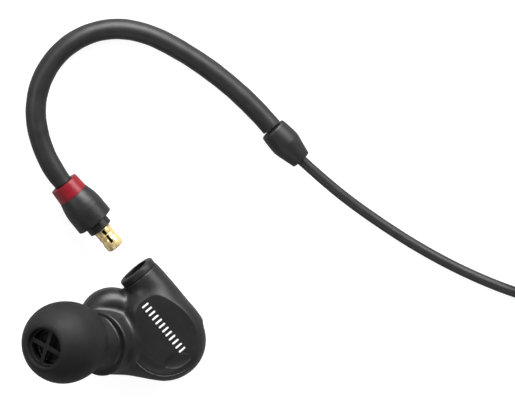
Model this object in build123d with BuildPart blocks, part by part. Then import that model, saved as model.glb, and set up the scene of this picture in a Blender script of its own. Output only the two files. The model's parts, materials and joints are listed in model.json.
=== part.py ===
"""One earpiece of a pair of in ear monitors, with its plug-in cable.

The earpiece lies on the flat face of its rear cover, with the silicone tip pointing up.
The origin is the centre of that face, under the middle of the driver, and +Z is up.
The cable is unplugged and lies in line with the socket. Millimetres.
"""
import os
from math import cos, radians, sin, tan

from build123d import *

os.makedirs("parts", exist_ok=True)

# ---------------------------------------------------------------- driving dimensions
DRIVER_R = 5.0              # a 10 mm dynamic driver
WALL = 0.75
SHELL_R = DRIVER_R + WALL + 0.05
SEAM_Z = 1.9                # where the rear cover meets the front shell
SHELL_TOP = 6.4

LOBE_B = (-7.2, 2.5)        # the two lobes beside the driver that carry the nozzle
LOBE_B_R = 4.6
LOBE_C = (-7.7, -0.6)
LOBE_C_R = 4.2

SOCKET_ANGLE = 129.6        # compass angle of the socket in the XY plane
SOCKET_R = 2.7
SOCKET_OFFSET = SHELL_R - SOCKET_R
SOCKET_Z = 2.85
MOUTH_RUN = 10.1            # from the foot of the driver axis to the socket's mouth
COLLAR_R = 2.76
COLLAR_LENGTH = 1.05
COLLAR_BORE = 1.96

NOZZLE_FOOT = (-9.14, 1.26, 5.61)
NOZZLE_AZIMUTH = 183.9
NOZZLE_RISE = 51.5
DRUM_R = 4.55
DRUM_SHIFT = (1.62, -0.4)   # the drum's centre, off the nozzle's line in the nozzle's own plane
NOZZLE_R = 2.2
NOZZLE_LIP_R = 2.5
NOZZLE_BORE = 1.6
NOZZLE_END = 12.4

TIP_R = 5.75
TIP_RIM = 6.0               # heights along the nozzle, from its foot
TIP_WIDEST = 9.4
TIP_END = 14.4
TIP_LIP_R = 3.3
TIP_BORE = 2.55
TIP_CORE_START = 7.2
GUARD_BAR = 0.62

UNPLUGGED = 4.17            # gap between the socket's mouth and the plug's tip
CONTACT_LENGTH = 3.39
NOSE_LENGTH = 1.28
BARREL_LENGTH = 4.89
RING_LENGTH = 2.12
CONTACT_R = 1.27
NOSE_R = 1.74
BARREL_R = 2.71

HOOK_R = 1.44
HOOK_NECK_R = 1.32
# the bends of the formed hook, from the plug to the sleeve: radius and turn
HOOK_BENDS = ((17.1, 30.5), (11.6, 46.1), (11.3, 64.8), (17.0, 15.8), (49.9, 22.3))
HOOK_SLOPE = (-0.0084, -0.0605)   # the hook's plane falls from the plug to the ground

SLEEVE_START = Vector(15.13, 29.44, 2.15)
SLEEVE_ANGLE = -46.9
SLEEVE_LENGTH = 6.03

CABLE_D = 1.5
CABLE_R = CABLE_D / 2
COIL_CENTRE = (64.5, 15.3)
COIL_RADII = (6.0, 12.0)    # innermost and outermost turns, at the cable's middle
COIL_LAYERS = 4

JACK_START = Vector(80.9, 16.8, 3.3)
JACK_RELIEF_LENGTH = 7.5
JACK_SHELL_LENGTH = 13.0
JACK_SHELL_R = 3.2
JACK_R = 1.75
JACK_LENGTH = 14.0

# ---------------------------------------------------------------- places
OUT = Vector(cos(radians(SOCKET_ANGLE)), sin(radians(SOCKET_ANGLE)), 0)
ACROSS = Vector(OUT.Y, -OUT.X, 0)
MOUTH = OUT * MOUTH_RUN + ACROSS * SOCKET_OFFSET + Vector(0, 0, SOCKET_Z)
UP = Vector(0, 0, 1)

socket_in = Plane(MOUTH, x_dir=UP, z_dir=-OUT)
plug_out = Plane(MOUTH + OUT * UNPLUGGED, x_dir=UP, z_dir=OUT)

NOZZLE_AXIS = Vector(
    cos(radians(NOZZLE_RISE)) * cos(radians(NOZZLE_AZIMUTH)),
    cos(radians(NOZZLE_RISE)) * sin(radians(NOZZLE_AZIMUTH)),
    sin(radians(NOZZLE_RISE)),
)
nozzle = Plane(NOZZLE_FOOT, x_dir=UP.cross(NOZZLE_AXIS), z_dir=NOZZLE_AXIS)
drum = Plane(
    nozzle.origin + nozzle.x_dir * DRUM_SHIFT[0] + nozzle.y_dir * DRUM_SHIFT[1],
    x_dir=nozzle.x_dir,
    z_dir=nozzle.z_dir,
)
driver = Plane.XY


# ---------------------------------------------------------------- helpers
def side_of(plane):
    """The plane through another plane's normal: its x is a radius and its y a height."""
    return Plane(plane.origin, x_dir=plane.x_dir, z_dir=-plane.y_dir)


def turn(plane, *outline, mode=Mode.ADD):
    """Revolve a closed outline of (radius, height) points about the plane's normal."""
    with BuildSketch(side_of(plane)) as profile:
        with BuildLine():
            Polyline(*outline, close=True)
        make_face()
    revolve(profile.sketch, axis=Axis(plane.origin, plane.z_dir), mode=mode)


def ring(plane, outer, inner, low, high, mode=Mode.ADD):
    """A plain ring or, with no inner radius, a disc between two heights."""
    turn(plane, (inner, low), (outer, low), (outer, high), (inner, high), mode=mode)


def at(plane, height):
    """A plane moved along its own normal."""
    return plane.offset(height)


def slanted_cone(low, low_r, high, high_r, mode=Mode.ADD):
    """A cone between two discs that lie side by side, each on its own plane."""
    with BuildSketch(low) as foot:
        Circle(low_r)
    with BuildSketch(high) as head:
        Circle(high_r)
    loft([foot.sketch, head.sketch], mode=mode)


def save(piece, label):
    """Name a finished piece and write its STEP file."""
    piece.part.label = label
    export_step(piece.part, f"parts/{label}.step")


def body_outline(inset=0.0):
    """The rounded outline round the driver and the two nozzle lobes."""
    Circle(SHELL_R - inset)
    with Locations(LOBE_B):
        Circle(LOBE_B_R - inset)
    with Locations(LOBE_C):
        Circle(LOBE_C_R - inset)
    make_hull()


def corner_radii(points):
    """The arc at each inner point of a cord: 0.45 of the shorter run over tan(half turn)."""
    radii = []
    for before, here, after in zip(points, points[1:], points[2:]):
        first = Vector(*here) - Vector(*before)
        second = Vector(*after) - Vector(*here)
        half_turn = radians(first.get_angle(second)) / 2
        radii.append(0.45 * min(first.length, second.length) / tan(half_turn))
    return radii


def lay_cord(points, name):
    """A round cord along straight runs joined by tangent arcs."""
    radii = corner_radii(points)
    with BuildLine() as route:
        FilletPolyline(*points, radius=radii)
    path = route.wire()
    with BuildSketch(Plane(path @ 0, z_dir=path % 0)) as section:
        Circle(CABLE_R)
    sweep(section.sketch, path=path)
    shown = ", ".join(f"{radius:.1f}" for radius in radii)
    print(f"{name}: {path.length:.1f} mm long, arcs of {shown} mm")
    return path.length


# ---------------------------------------------------------------- housing
TUBE_END = MOUTH_RUN - 5.1  # the socket's tube stops short of the driver
SOCKET_SEAT = 1.4           # the metal contact starts here, behind the plug's nose
SOCKET_CONTACT_R = 1.75
INSULATOR_R = 1.30
INSULATOR_BACK = 5.15
WIRE_HOLE_R = 0.9
SOCKET_DEPTH = 6.2          # the back end of the centre contact

with BuildPart() as front_shell:
    with BuildSketch(Plane.XY.offset(SEAM_Z)):
        body_outline()
    extrude(amount=SHELL_TOP - SEAM_Z)
    fillet(front_shell.faces().sort_by(Axis.Z)[-1].edges(), 1.9)
    # the drum and the slanted cone on it, which carry the nozzle
    turn(drum, (0, -3.4), (DRUM_R, -3.4), (DRUM_R, -0.35), (DRUM_R - 0.35, 0), (0, 0))
    slanted_cone(at(drum, -0.1), DRUM_R - 0.9, at(nozzle, 4.4), NOZZLE_R - 0.15)
    turn(
        nozzle,
        (0, -0.3), (NOZZLE_R, -0.3), (NOZZLE_R, NOZZLE_END - 1.2),
        (NOZZLE_LIP_R, NOZZLE_END - 0.9), (NOZZLE_LIP_R, NOZZLE_END - 0.3),
        (NOZZLE_LIP_R - 0.25, NOZZLE_END), (0, NOZZLE_END),
    )
    split(bisect_by=Plane.XY.offset(SEAM_Z), keep=Keep.TOP)
    # the hollow inside, and the sound's way out through the nozzle
    with BuildSketch(Plane.XY.offset(SEAM_Z)):
        body_outline(WALL)
    extrude(amount=SHELL_TOP - WALL - SEAM_Z, mode=Mode.SUBTRACT)
    ring(drum, DRUM_R - WALL, 0, -2.6, -WALL, mode=Mode.SUBTRACT)
    slanted_cone(
        at(drum, -WALL - 0.05), 2.9, at(nozzle, 3.6), NOZZLE_BORE - 0.1, mode=Mode.SUBTRACT
    )
    ring(nozzle, NOZZLE_BORE, 0, -0.9, NOZZLE_END - 0.7, mode=Mode.SUBTRACT)
    ring(nozzle, NOZZLE_BORE + 0.45, 0, NOZZLE_END - 0.8, NOZZLE_END + 1, mode=Mode.SUBTRACT)
    # the socket's tube, with a wider mouth for the plug's nose
    ring(socket_in, SOCKET_R, 0, COLLAR_LENGTH, TUBE_END)
    ring(socket_in, SOCKET_CONTACT_R, 0, COLLAR_LENGTH, TUBE_END, mode=Mode.SUBTRACT)
    ring(socket_in, COLLAR_BORE, 0, 0, SOCKET_SEAT, mode=Mode.SUBTRACT)
    ring(socket_in, INSULATOR_R, 0, TUBE_END - 0.1, INSULATOR_BACK, mode=Mode.SUBTRACT)
    ring(socket_in, WIRE_HOLE_R, 0, TUBE_END, SOCKET_DEPTH + 0.4, mode=Mode.SUBTRACT)
save(front_shell, "front_shell")

with BuildPart() as rear_cover:
    with BuildSketch():
        body_outline()
    extrude(amount=SEAM_Z)
    fillet(rear_cover.faces().sort_by(Axis.Z)[0].edges(), 1.1)
    with BuildSketch(Plane.XY.offset(WALL)):
        body_outline(WALL)
    extrude(amount=SEAM_Z, mode=Mode.SUBTRACT)
    ring(socket_in, SOCKET_R, 0, -3, TUBE_END, mode=Mode.SUBTRACT)
    ring(socket_in, INSULATOR_R, 0, TUBE_END - 0.1, INSULATOR_BACK, mode=Mode.SUBTRACT)
    with BuildSketch(at(socket_in, -3)):
        with Locations((-SOCKET_Z, 0)):
            Rectangle(2.4, 2.6)
    extrude(amount=TUBE_END + 3, mode=Mode.SUBTRACT)
    with Locations((*LOBE_B, WALL)):
        CounterBoreHole(radius=0.5, counter_bore_radius=1.3, counter_bore_depth=0.25)
save(rear_cover, "rear_cover")

with BuildPart() as vent_mesh:
    ring(Plane((*LOBE_B, 0)), 1.3, 0, WALL - 0.25, WALL - 0.1)
save(vent_mesh, "vent_mesh")

with BuildPart() as socket_collar:
    ring(socket_in, COLLAR_R, COLLAR_BORE, 0, COLLAR_LENGTH)
    rims = socket_collar.edges().filter_by(GeomType.CIRCLE).group_by(Axis(MOUTH, OUT))[-1]
    fillet(rims, 0.18)
save(socket_collar, "socket_collar")

with BuildPart() as nozzle_screen:
    ring(nozzle, NOZZLE_BORE + 0.45, 0, NOZZLE_END - 0.45, NOZZLE_END - 0.25)
save(nozzle_screen, "nozzle_screen")

with BuildPart() as nozzle_damper:
    ring(nozzle, NOZZLE_BORE, 0, NOZZLE_END - 3.0, NOZZLE_END - 2.2)
save(nozzle_damper, "nozzle_damper")

# ---------------------------------------------------------------- socket contacts
with BuildPart() as socket_outer_contact:
    turn(
        socket_in,
        (1.5, SOCKET_SEAT), (SOCKET_CONTACT_R, SOCKET_SEAT), (SOCKET_CONTACT_R, TUBE_END),
        (INSULATOR_R, TUBE_END), (INSULATOR_R, SOCKET_SEAT + 0.2),
    )
save(socket_outer_contact, "socket_outer_contact")

with BuildPart() as socket_insulator:
    ring(socket_in, INSULATOR_R, 0.45, 4.75, INSULATOR_BACK)
save(socket_insulator, "socket_insulator")

with BuildPart() as socket_centre_contact:
    ring(socket_in, 0.45, 0, 2.2, SOCKET_DEPTH)
    ring(socket_in, 0.27, 0, 2.2, 4.4, mode=Mode.SUBTRACT)
save(socket_centre_contact, "socket_centre_contact")

# ---------------------------------------------------------------- driver
YOKE_LOW = 1.35
YOKE_TOP = 3.3
PLATE_TOP = 3.4
DIAPHRAGM_Z = 4.35
DIAPHRAGM_R = 4.45          # it runs just inside its clamping ring
FRAME_TOP = 4.25
GRILLE_LOW = 4.85
GASKET_LOW = 5.05
CEILING = SHELL_TOP - WALL

with BuildPart() as driver_yoke:
    ring(driver, 3.5, 0, YOKE_LOW, YOKE_TOP)
    ring(driver, 3.0, 0.5, YOKE_LOW + 0.5, YOKE_TOP, mode=Mode.SUBTRACT)
    ring(driver, 0.5, 0, YOKE_LOW + 0.5, YOKE_TOP, mode=Mode.SUBTRACT)
save(driver_yoke, "driver_yoke")

with BuildPart() as driver_magnet:
    ring(driver, 2.4, 0, YOKE_LOW + 0.5, 3.0)
save(driver_magnet, "driver_magnet")

with BuildPart() as driver_top_plate:
    ring(driver, 2.45, 0, 3.0, PLATE_TOP)
save(driver_top_plate, "driver_top_plate")

with BuildPart() as driver_frame:
    turn(
        driver,
        (3.5, YOKE_LOW + 0.6), (3.9, YOKE_LOW + 0.6), (4.2, 3.3), (DRIVER_R, 3.6),
        (DRIVER_R, FRAME_TOP), (4.5, FRAME_TOP), (4.5, 3.9), (3.9, 3.7), (3.5, YOKE_TOP),
    )
    with PolarLocations(3.95, 6):
        Hole(0.18)
save(driver_frame, "driver_frame")

with BuildPart() as voice_coil:
    ring(driver, 2.82, 2.62, 2.3, DIAPHRAGM_Z - 0.02)
save(voice_coil, "voice_coil")

with BuildPart() as diaphragm:
    ring(driver, DIAPHRAGM_R, 0, DIAPHRAGM_Z - 0.02, DIAPHRAGM_Z + 0.03)
save(diaphragm, "diaphragm")

with BuildPart() as diaphragm_ring:
    ring(driver, DRIVER_R, 4.5, FRAME_TOP, GRILLE_LOW)
save(diaphragm_ring, "diaphragm_ring")

with BuildPart() as driver_grille:
    ring(driver, DRIVER_R, 0, GRILLE_LOW, GASKET_LOW)
    with PolarLocations(2.6, 6):
        Hole(0.45)
    with PolarLocations(1.1, 3):
        Hole(0.35)
save(driver_grille, "driver_grille")

with BuildPart() as driver_gasket:
    ring(driver, DRIVER_R, 4.2, GASKET_LOW, CEILING)
    # open towards the nozzle, for the sound
    with BuildSketch(Plane.XY.offset(GASKET_LOW + 0.1)):
        with Locations((-4.5, 0)):
            Rectangle(3, 5)
    extrude(amount=1, mode=Mode.SUBTRACT)
save(driver_gasket, "driver_gasket")

with BuildPart() as driver_terminals:
    with BuildSketch(Plane.XY.offset(YOKE_LOW - 0.3)):
        RectangleRounded(3.2, 2.0, 0.4)
    extrude(amount=0.3)
save(driver_terminals, "driver_terminals")


WIRE_R = 0.11
UNDER_DRIVER = YOKE_LOW - 0.42


def in_socket(out, across, height):
    """A point measured along and across the socket from the driver's axis."""
    spot = OUT * out + ACROSS * across
    return (spot.X, spot.Y, height)


def fine_wire(*points):
    """A fine insulated wire bent round its points."""
    with BuildLine() as route:
        FilletPolyline(*points, radius=0.3)
    path = route.wire()
    with BuildSketch(Plane(path @ 0, z_dir=path % 0)) as section:
        Circle(WIRE_R)
    sweep(section.sketch, path=path)


with BuildPart() as live_wire:
    fine_wire(
        (-1.2, 0.4, UNDER_DRIVER), in_socket(3.6, 2.45, UNDER_DRIVER), in_socket(3.95, 2.52, 2.8)
    )
save(live_wire, "live_wire")

with BuildPart() as ground_wire:
    fine_wire(
        (-0.6, -0.4, UNDER_DRIVER),
        in_socket(3.2, 3.15, UNDER_DRIVER),
        in_socket(3.8, 3.1, 2.17),
        in_socket(4.85, 3.1, 2.17),
    )
save(ground_wire, "ground_wire")

# ---------------------------------------------------------------- ear tip
TIP_SHOULDER = 6.05         # half the length of the dome's ellipse, along the nozzle
TIP_SKIN = 0.5

with BuildPart() as ear_tip:
    with BuildSketch(side_of(nozzle)):
        with BuildLine():
            dome = EllipticalCenterArc(
                (0, TIP_WIDEST), TIP_R, TIP_SHOULDER, start_angle=-12.0, arc_size=67.0
            )
            lip = Line(dome @ 1, (TIP_BORE, TIP_END))
            bore = Line(lip @ 1, (TIP_BORE, TIP_CORE_START))
            Line(bore @ 1, (TIP_LIP_R, TIP_CORE_START))
            core = Line((TIP_LIP_R, TIP_CORE_START), (TIP_LIP_R, TIP_END - 2.4))
            inner = EllipticalCenterArc(
                (0, TIP_WIDEST), TIP_R - TIP_SKIN, TIP_SHOULDER - 1.3,
                start_angle=-14.0, arc_size=61.0,
            )
            Line(core @ 1, inner @ 1)
            rim = Line(inner @ 0, (TIP_R - TIP_SKIN - 0.12, TIP_RIM))
            Line(rim @ 1, (TIP_R - 0.22, TIP_RIM))
            Line((TIP_R - 0.22, TIP_RIM), dome @ 0)
        make_face()
    revolve(axis=Axis(nozzle.origin, nozzle.z_dir))
save(ear_tip, "ear_tip")

GUARD_LOW = TIP_END - 1.3
GUARD_HIGH = TIP_END - 0.7
with BuildPart() as tip_guard:
    ring(nozzle, TIP_BORE, TIP_BORE - 0.3, GUARD_LOW, GUARD_HIGH)
    with BuildSketch(at(nozzle, GUARD_LOW)):
        Rectangle(2 * TIP_BORE - 0.3, GUARD_BAR, rotation=-25)
        Rectangle(GUARD_BAR, 2 * TIP_BORE - 0.3, rotation=-25)
    extrude(amount=GUARD_HIGH - GUARD_LOW)
save(tip_guard, "tip_guard")

# ---------------------------------------------------------------- plug
NOSE_AT = CONTACT_LENGTH
BARREL_AT = NOSE_AT + NOSE_LENGTH
RING_AT = BARREL_AT + BARREL_LENGTH
HOOK_AT = RING_AT + RING_LENGTH
GROOVE = (1.75, 2.35)       # the snap ring's groove, from the contact's end
CONTACT_WINDOWS = ((1.04, 2.24), (2.44, 3.19))

with BuildPart() as plug_outer_contact:
    turn(
        plug_out,
        (0.95, 0), (1.05, 0), (CONTACT_R - 0.05, 0.3), (CONTACT_R, 0.9), (1.2, GROOVE[0] - 0.05),
        (1.10, GROOVE[0]), (1.10, GROOVE[1]), (1.25, GROOVE[1] + 0.05), (1.25, NOSE_AT + 0.8),
        (0.95, NOSE_AT + 0.8),
    )
    for angle in (0, 90):
        for low, high in CONTACT_WINDOWS:
            with BuildSketch(at(plug_out, low).rotated((0, 0, angle))):
                Rectangle(4, 0.3)
            extrude(amount=high - low, mode=Mode.SUBTRACT)
save(plug_outer_contact, "plug_outer_contact")

with BuildPart() as plug_snap_ring:
    ring(plug_out, 1.22, 1.13, GROOVE[0] + 0.05, GROOVE[1] - 0.05)
    with BuildSketch(at(plug_out, GROOVE[0])):
        with Locations((1.2, 0)):
            Rectangle(0.8, 0.4)
    extrude(amount=1, mode=Mode.SUBTRACT)
save(plug_snap_ring, "plug_snap_ring")

with BuildPart() as plug_insulator:
    turn(
        plug_out,
        (0.56, 0.15), (0.95, 0.15), (0.95, NOSE_AT + 0.8), (0.25, NOSE_AT + 0.8), (0.25, 2.8),
        (0.56, 2.8),
    )
save(plug_insulator, "plug_insulator")

with BuildPart() as plug_centre_pin:
    ring(plug_out, 0.25, 0, 0.7, NOSE_AT + 1.6)
save(plug_centre_pin, "plug_centre_pin")

with BuildPart() as plug_nose:
    ring(plug_out, NOSE_R, 1.25, NOSE_AT, BARREL_AT)
    end = plug_nose.edges().filter_by(GeomType.CIRCLE).group_by(Axis(MOUTH, OUT))[0]
    chamfer(end.sort_by(SortBy.RADIUS)[-1], 0.12)
save(plug_nose, "plug_nose")

with BuildPart() as plug_barrel:
    turn(
        plug_out,
        (1.25, BARREL_AT), (BARREL_R - 0.2, BARREL_AT), (BARREL_R, BARREL_AT + 0.2),
        (BARREL_R, BARREL_AT + 2.8), (BARREL_R - 0.12, BARREL_AT + 3.5), (2.25, RING_AT),
        (HOOK_NECK_R, RING_AT), (HOOK_NECK_R, RING_AT - 1.6), (0.25, NOSE_AT + 1.2),
        (0.25, NOSE_AT + 0.8), (1.25, NOSE_AT + 0.8),
    )
save(plug_barrel, "plug_barrel")

with BuildPart() as side_ring:
    turn(
        plug_out,
        (HOOK_NECK_R, RING_AT), (2.25, RING_AT), (2.12, HOOK_AT - 0.3), (1.86, HOOK_AT),
        (HOOK_NECK_R, HOOK_AT),
    )
save(side_ring, "side_ring")

# ---------------------------------------------------------------- ear hook
HOOK_CORE_R = 0.45
HOOK_GAP = 0.06             # keeps the tilted end face clear of the ring
hook_start = plug_out.origin + OUT * (HOOK_AT + HOOK_GAP)
hook_plane = Plane(
    hook_start, x_dir=(1, 0, HOOK_SLOPE[0]), z_dir=(-HOOK_SLOPE[0], -HOOK_SLOPE[1], 1)
)


def hook_line():
    """The formed hook's middle line, one tangent arc after another."""
    start = (0, 0)
    heading = (cos(radians(SOCKET_ANGLE)), sin(radians(SOCKET_ANGLE)))
    with BuildLine() as line:
        for radius, bend in HOOK_BENDS:
            arc = JernArc(start, heading, radius, -bend)
            start, heading = arc @ 1, arc % 1
    return line.wire().moved(hook_plane.location)


hook_path = hook_line()
hook_tail = hook_path @ 1
print(f"hook: {hook_path.length:.1f} mm long, ends at {hook_tail}")

with BuildPart() as ear_hook:
    with BuildSketch(Plane(hook_path @ 0, z_dir=hook_path % 0)):
        Circle(HOOK_R)
        Circle(HOOK_CORE_R, mode=Mode.SUBTRACT)
    sweep(path=hook_path)
save(ear_hook, "ear_hook")

with BuildPart() as hook_core:
    with BuildSketch(Plane(hook_path @ 0, z_dir=hook_path % 0)):
        Circle(HOOK_CORE_R)
    sweep(path=hook_path)
save(hook_core, "hook_core")

with BuildPart() as plug_strain_core:
    ring(plug_out, HOOK_NECK_R, 0, RING_AT - 1.4, HOOK_AT)
save(plug_strain_core, "plug_strain_core")

sleeve = Plane(
    SLEEVE_START,
    x_dir=UP,
    z_dir=(cos(radians(SLEEVE_ANGLE)), sin(radians(SLEEVE_ANGLE)), 0),
)
with BuildPart() as transition_sleeve:
    turn(
        sleeve,
        (0, 0.1), (1.7, 0.1), (1.92, 0.32), (2.12, 2.3), (2.12, 3.0), (1.44, SLEEVE_LENGTH),
        (0, SLEEVE_LENGTH),
    )
save(transition_sleeve, "transition_sleeve")

# ---------------------------------------------------------------- cable
LEAD_GAP = 0.05
sleeve_end = SLEEVE_START + sleeve.z_dir * (SLEEVE_LENGTH + LEAD_GAP)
LEAD = (
    (sleeve_end.X, sleeve_end.Y, sleeve_end.Z),
    (23.4, 21.2, 1.75),
    (29.2, 16.8, CABLE_R),
    (36.2, 12.2, CABLE_R),
    (43.6, 8.3, CABLE_R),
    (51.2, 5.3, CABLE_R),
    (58.2, 3.75, CABLE_R),
    (62.5, 3.3, CABLE_R),
)
TAIL = (
    (66.0, 3.3, 5.25),
    (71.5, 3.1, 4.9),
    (77.2, 5.2, 3.9),
    (80.4, 10.4, 3.35),
    (JACK_START.X, JACK_START.Y, JACK_START.Z),
)

with BuildPart() as cable_lead:
    lead_length = lay_cord(LEAD, "cable_lead")
save(cable_lead, "cable_lead")

with BuildPart() as cable_coil:
    inner = COIL_RADII[0] - CABLE_R
    outer = COIL_RADII[1] + CABLE_R
    ring(Plane((*COIL_CENTRE, 0)), outer, inner, 0, COIL_LAYERS * CABLE_D)
    fillet(cable_coil.edges().filter_by(GeomType.CIRCLE), CABLE_R * 0.8)
save(cable_coil, "cable_coil")

with BuildPart() as cable_tail:
    tail_length = lay_cord(TAIL, "cable_tail")
save(cable_tail, "cable_tail")

for piece, length in ((cable_lead, lead_length), (cable_tail, tail_length)):
    section = 3.14159 * CABLE_R**2
    print(f"volume {piece.part.volume:.2f} against {section * length:.2f}")

# ---------------------------------------------------------------- jack
jack = Plane(JACK_START, x_dir=UP, z_dir=(0.05, 1, 0))
RELIEF_END = JACK_RELIEF_LENGTH
SHELL_END = RELIEF_END + JACK_SHELL_LENGTH
PLUG_END = SHELL_END + JACK_LENGTH
SLEEVE_CONTACT = 6.2
BAND = 0.5
RING_CONTACT = 2.4
JACK_CORE_R = 0.8

with BuildPart() as jack_strain_relief:
    turn(jack, (0, 0), (1.15, 0), (1.9, RELIEF_END), (0, RELIEF_END))
save(jack_strain_relief, "jack_strain_relief")

with BuildPart() as jack_shell:
    turn(
        jack,
        (0, RELIEF_END), (2.5, RELIEF_END), (JACK_SHELL_R, RELIEF_END + 0.8),
        (JACK_SHELL_R, SHELL_END - 0.4), (JACK_SHELL_R - 0.4, SHELL_END), (0, SHELL_END),
    )
save(jack_shell, "jack_shell")

sleeve_end_at = SHELL_END + SLEEVE_CONTACT
ring_start = sleeve_end_at + BAND
ring_end = ring_start + RING_CONTACT
tip_start = ring_end + BAND

with BuildPart() as jack_sleeve_contact:
    ring(jack, 2.3, JACK_CORE_R, SHELL_END, SHELL_END + 0.5)
    ring(jack, JACK_R, JACK_CORE_R, SHELL_END + 0.5, sleeve_end_at)
save(jack_sleeve_contact, "jack_sleeve_contact")

with BuildPart() as jack_ring_contact:
    ring(jack, JACK_R, JACK_CORE_R, ring_start, ring_end)
save(jack_ring_contact, "jack_ring_contact")

with BuildPart() as jack_tip_contact:
    turn(
        jack,
        (JACK_CORE_R, tip_start), (JACK_R, tip_start), (1.25, tip_start + 1.1),
        (1.62, tip_start + 1.9), (1.5, PLUG_END - 1.2), (0.45, PLUG_END), (0, PLUG_END),
        (0, tip_start + 0.6), (JACK_CORE_R, tip_start + 0.6),
    )
save(jack_tip_contact, "jack_tip_contact")

with BuildPart() as jack_insulator:
    ring(jack, JACK_CORE_R, 0, SHELL_END, tip_start + 0.6)
    ring(jack, JACK_R, 0, sleeve_end_at, ring_start)
    ring(jack, JACK_R, 0, ring_end, tip_start)
save(jack_insulator, "jack_insulator")
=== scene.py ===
"""The looks of an in ear monitor that lies on a pale floor, unplugged from its cable.

Lengths inside the shape functions are in millimetres and are turned into metres when a mesh is
made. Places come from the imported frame: the plug's axis, the nozzle's axis and the mounts.
"""
import json
import math

import bpy
import numpy as np
from mathutils import Matrix, Vector


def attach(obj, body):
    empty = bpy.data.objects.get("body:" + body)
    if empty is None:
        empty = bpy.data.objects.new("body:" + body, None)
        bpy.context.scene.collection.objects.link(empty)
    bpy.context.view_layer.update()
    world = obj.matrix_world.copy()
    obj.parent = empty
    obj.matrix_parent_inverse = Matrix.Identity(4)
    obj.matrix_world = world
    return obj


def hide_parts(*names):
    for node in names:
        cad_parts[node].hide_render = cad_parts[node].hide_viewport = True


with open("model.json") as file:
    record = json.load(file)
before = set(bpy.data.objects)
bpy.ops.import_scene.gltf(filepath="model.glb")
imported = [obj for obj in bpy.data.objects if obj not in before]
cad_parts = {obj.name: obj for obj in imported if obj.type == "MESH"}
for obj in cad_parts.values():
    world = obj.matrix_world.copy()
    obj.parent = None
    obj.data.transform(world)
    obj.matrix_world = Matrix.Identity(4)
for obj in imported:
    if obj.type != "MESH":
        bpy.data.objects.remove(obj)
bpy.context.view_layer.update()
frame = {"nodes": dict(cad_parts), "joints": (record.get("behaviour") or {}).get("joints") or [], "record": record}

MM = 0.001
JOINTS = {joint["name"]: joint for joint in frame["joints"]}
MOUNTS = {mount["name"]: mount for mount in frame["record"]["mounts"]}

# ---------------------------------------------------------------- places, in millimetres
UP = Vector((0, 0, 1))
OUT = Vector(JOINTS["plug_swivel"]["axis"]).normalized()
ACROSS = Vector((OUT.y, -OUT.x, 0))
PLUG_TIP = Vector(JOINTS["plug_swivel"]["pos_m"]) / MM
UNPLUGGED = 4.17
MOUTH = PLUG_TIP - OUT * UNPLUGGED
SOCKET_R = 2.7

NOZZLE = Vector(MOUNTS["ear_canal"]["axis"]).normalized()
TIP_END = 14.4
NOZZLE_FOOT = Vector(MOUNTS["ear_canal"]["pos_m"]) / MM - NOZZLE * TIP_END

SHELL_R = 5.8
SEAM_Z = 1.9
WALL = 0.75
CABLE_R = 0.75


def frame_of(origin, normal, x_dir):
    """A placing whose local Z is the normal and whose local X is x_dir."""
    z = normal.normalized()
    x = (x_dir - z * x_dir.dot(z)).normalized()
    y = z.cross(x)
    rows = [(x[i], y[i], z[i], origin[i]) for i in range(3)]
    return Matrix((*rows, (0, 0, 0, 1)))


DRUM_SHIFT = (1.62, -0.4)   # the drum's middle, off the nozzle's line

nozzle_place = frame_of(NOZZLE_FOOT, NOZZLE, UP.cross(NOZZLE))
drum_place = frame_of(nozzle_place @ Vector((*DRUM_SHIFT, 0)), NOZZLE, UP.cross(NOZZLE))
socket_place = frame_of(MOUTH, -OUT, UP)
plug_place = frame_of(PLUG_TIP, OUT, UP)


# ---------------------------------------------------------------- camera
def add_camera():
    """A long lens nearly straight above, leaning so that it looks a little into the socket."""
    lean = math.radians(9.0)
    toward = UP * math.cos(lean) + OUT * math.sin(lean)
    along = OUT * math.cos(lean) - UP * math.sin(lean)
    right = along * OUT.x + ACROSS * ACROSS.x
    above = along * OUT.y + ACROSS * ACROSS.y
    view_width, distance = 72.1, 2000.0
    middle = (13.43, 18.63, 3.0)        # of the view, along right, above and toward
    target = right * middle[0] + above * middle[1] + toward * middle[2]
    eye = (target + toward * distance) * MM
    data = bpy.data.cameras.new("camera")
    data.sensor_width = 36.0
    data.lens = 36.0 * distance / view_width
    data.clip_start = 0.05
    data.clip_end = 20.0
    camera = bpy.data.objects.new("camera", data)
    rows = [(right[i], above[i], toward[i], eye[i]) for i in range(3)]
    camera.matrix_world = Matrix((*rows, (0, 0, 0, 1)))
    bpy.context.collection.objects.link(camera)
    bpy.context.scene.camera = camera


add_camera()


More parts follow.
